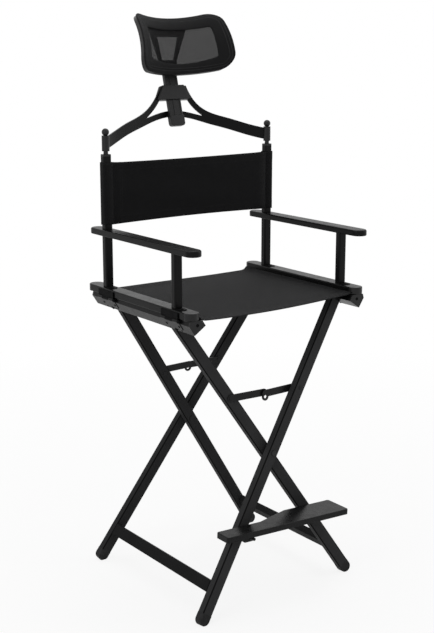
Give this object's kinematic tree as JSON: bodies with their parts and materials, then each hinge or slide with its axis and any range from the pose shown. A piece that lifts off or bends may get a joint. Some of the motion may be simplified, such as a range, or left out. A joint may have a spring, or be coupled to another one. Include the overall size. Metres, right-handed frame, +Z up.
{
  "type": "folding make-up chair",
  "caption": "Tall folding chair with crossed tube legs, cloth seat and back, flat armrests, a hinged footrest and an adjustable headrest on a wishbone bracket.",
  "frame": {"origin": "on the floor, under the centre of the overall box", "axes": "+Z up, the sitter faces -Y, -X is the side on the left in a front view"},
  "size_m": [0.553, 0.5408, 1.4389],
  "materials": {
    "black_aluminium": "gloss black coat on aluminium tube",
    "black_plastic": "smooth black moulding",
    "foot_plastic": "matt black moulding",
    "arm_plastic": "polished black moulding",
    "seat_cloth": "dark grey woven cloth",
    "back_cloth": "black woven cloth",
    "mesh_cloth": "black open mesh",
    "dark_steel": "black plated rivets and pins"
  },
  "bodies": {
    "side_left": {"rail_left": "black_aluminium", "rail_caps_left": "black_plastic", "post_front_left": "black_aluminium", "post_back_left": "black_aluminium", "post_cap_left": "black_plastic", "armrest_left": "arm_plastic", "hinge_brackets_left": "dark_steel", "hinge_pins_left": "dark_steel", "seat_canvas": "seat_cloth", "back_canvas": "back_cloth"},
    "side_right": {"rail_right": "black_aluminium", "rail_caps_right": "black_plastic", "post_front_right": "black_aluminium", "post_back_right": "black_aluminium", "post_cap_right": "black_plastic", "armrest_right": "arm_plastic", "hinge_brackets_right": "dark_steel", "hinge_pins_right": "dark_steel"},
    "inner_frame": {"top_bar_left": "black_aluminium", "bar_caps_left": "black_plastic", "leg_front_inner": "black_aluminium", "leg_rear_inner": "black_aluminium", "bottom_rail_right": "black_aluminium", "feet_inner": "foot_plastic", "cross_pins": "dark_steel", "link_rivets_inner": "dark_steel", "footrest_peg": "dark_steel"},
    "outer_frame": {"top_bar_right": "black_aluminium", "bar_caps_right": "black_plastic", "leg_front_outer": "black_aluminium", "leg_rear_outer": "black_aluminium", "bottom_rail_left": "black_aluminium", "feet_outer": "foot_plastic", "cross_caps": "black_plastic", "link_rivets_outer": "dark_steel", "footrest_pin": "dark_steel"},
    "link_front_inner": {"lock_link_front_inner": "dark_steel", "lock_rivet_front_inner": "dark_steel"},
    "link_rear_inner": {"lock_link_rear_inner": "dark_steel", "lock_rivet_rear_inner": "dark_steel"},
    "link_front_outer": {"lock_link_front_outer": "dark_steel", "lock_rivet_front_outer": "dark_steel"},
    "link_rear_outer": {"lock_link_rear_outer": "dark_steel", "lock_rivet_rear_outer": "dark_steel"},
    "footrest": {"footrest_tread": "arm_plastic"},
    "headrest_mount": {"headrest_bracket": "black_aluminium", "headrest_sleeves": "black_plastic", "headrest_balls": "black_plastic", "headrest_housing": "black_plastic", "headrest_knob": "black_plastic"},
    "headrest_slider": {"headrest_stem": "black_plastic", "stem_end_cap": "black_plastic"},
    "headrest_pad": {"pad_frame": "black_plastic", "pad_mesh": "mesh_cloth", "pad_struts": "black_plastic", "tilt_pin": "dark_steel"}
  },
  "joints": [
    {"name": "fold", "type": "hinge", "parent": "side_left", "child": "inner_frame", "pos_m": [-0.272, 0.00751, 0.747], "axis": [0, 1, 0], "range_deg": [0, 30], "deforming": ["seat_canvas", "back_canvas"]},
    {"name": "cross_pivot", "type": "hinge", "parent": "inner_frame", "child": "outer_frame", "pos_m": [0, 0.00751, 0.37591], "axis": [0, 1, 0], "range_deg": [-60, 0]},
    {"name": "fold_right", "type": "hinge", "parent": "outer_frame", "child": "side_right", "pos_m": [0.272, 0.00751, 0.747], "axis": [0, 1, 0], "range_deg": [0, 30]},
    {"name": "lock_front_inner", "type": "hinge", "parent": "inner_frame", "child": "link_front_inner", "pos_m": [-0.09838, -0.14806, 0.52455], "axis": [-0.0548, -0.9951, 0.0828], "range_deg": [0, 113.65]},
    {"name": "lock_rear_inner", "type": "hinge", "parent": "inner_frame", "child": "link_rear_inner", "pos_m": [-0.09838, 0.16307, 0.52455], "axis": [0.0548, -0.9951, -0.0828], "range_deg": [0, 113.65]},
    {"name": "lock_front_outer", "type": "hinge", "parent": "outer_frame", "child": "link_front_outer", "pos_m": [0.09714, -0.15557, 0.52267], "axis": [-0.0548, 0.9951, -0.0828], "range_deg": [0, 113.65]},
    {"name": "lock_rear_outer", "type": "hinge", "parent": "outer_frame", "child": "link_rear_outer", "pos_m": [0.09714, 0.17058, 0.52267], "axis": [0.0548, 0.9951, 0.0828], "range_deg": [0, 113.65]},
    {"name": "footrest_flip", "type": "hinge", "parent": "outer_frame", "child": "footrest", "pos_m": [-0.11825, -0.20588, 0.19726], "axis": [0.0548, -0.9951, 0.0828], "range_deg": [0, 35]},
    {"name": "headrest_lift", "type": "slide", "parent": "side_left", "child": "headrest_mount", "axis": [0, 0, 1], "range_m": [0, 0.12]},
    {"name": "headrest_height", "type": "slide", "parent": "headrest_mount", "child": "headrest_slider", "axis": [0, 0.2588, 0.9659], "range_m": [-0.02, 0.03]},
    {"name": "headrest_tilt", "type": "hinge", "parent": "headrest_slider", "child": "headrest_pad", "pos_m": [0, 0.26023, 1.31438], "axis": [1, 0, 0], "range_deg": [-25, 15]}
  ],
  "couplings": [
    {"joint": "cross_pivot", "follows": "fold", "ratio": -2},
    {"joint": "fold_right", "follows": "fold", "ratio": 1},
    {"joint": "lock_front_inner", "follows": "fold", "ratio": 3.788},
    {"joint": "lock_rear_inner", "follows": "fold", "ratio": 3.788},
    {"joint": "lock_front_outer", "follows": "fold", "ratio": 3.788},
    {"joint": "lock_rear_outer", "follows": "fold", "ratio": 3.788}
  ]
}
